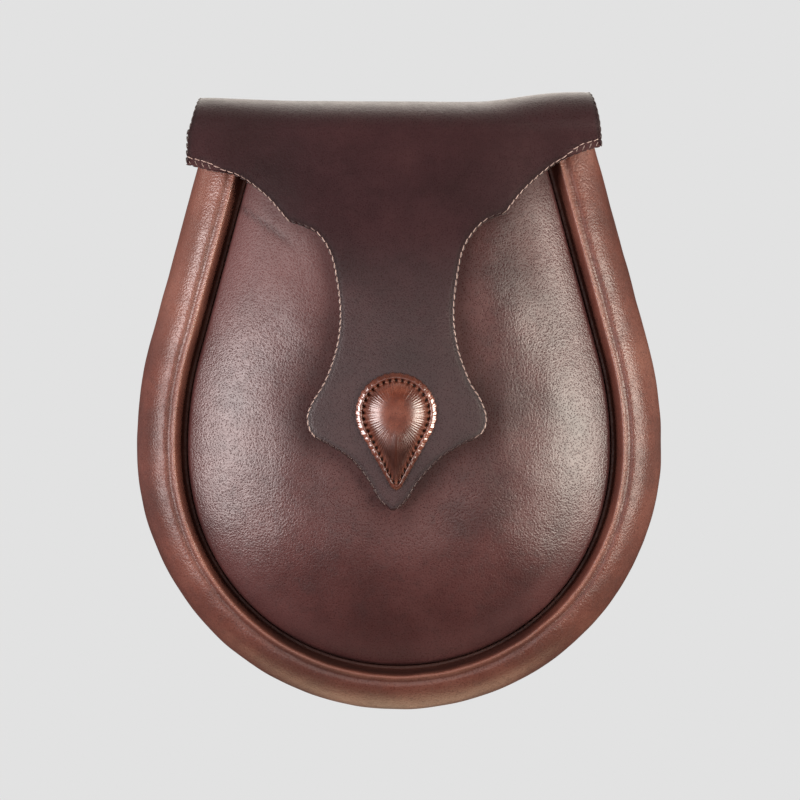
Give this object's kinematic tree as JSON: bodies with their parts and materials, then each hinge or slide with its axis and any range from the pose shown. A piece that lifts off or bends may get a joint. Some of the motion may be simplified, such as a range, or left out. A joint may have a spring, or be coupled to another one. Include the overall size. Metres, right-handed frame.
{
  "type": "leather sporran pouch",
  "caption": "Stiff leather waist pouch with a domed front, a rolled gusset, and a waisted flap with a padded teardrop boss.",
  "frame": {"origin": "middle of the bounding box in X and Y, on the surface that the back of the pouch lies on", "axes": "+Y towards the fold at the top of the pouch, +Z out of the front, +X to the right seen from the front"},
  "size_m": [0.17, 0.1998, 0.0553],
  "materials": {
    "roll_leather": "waxed chestnut leather",
    "panel_leather": "waxed dark brown leather",
    "flap_leather": "waxed dark brown leather with an overcast edge",
    "boss_leather": "polished reddish brown leather",
    "stud_brass": "plain brass"
  },
  "bodies": {
    "root": {"gusset": "roll_leather", "front_panel": "panel_leather", "back_panel": "panel_leather", "flap": "flap_leather", "tab_boss": "boss_leather", "closure_stud": "stud_brass", "strap_loop_left": "panel_leather", "strap_loop_right": "panel_leather"}
  },
  "joints": []
}
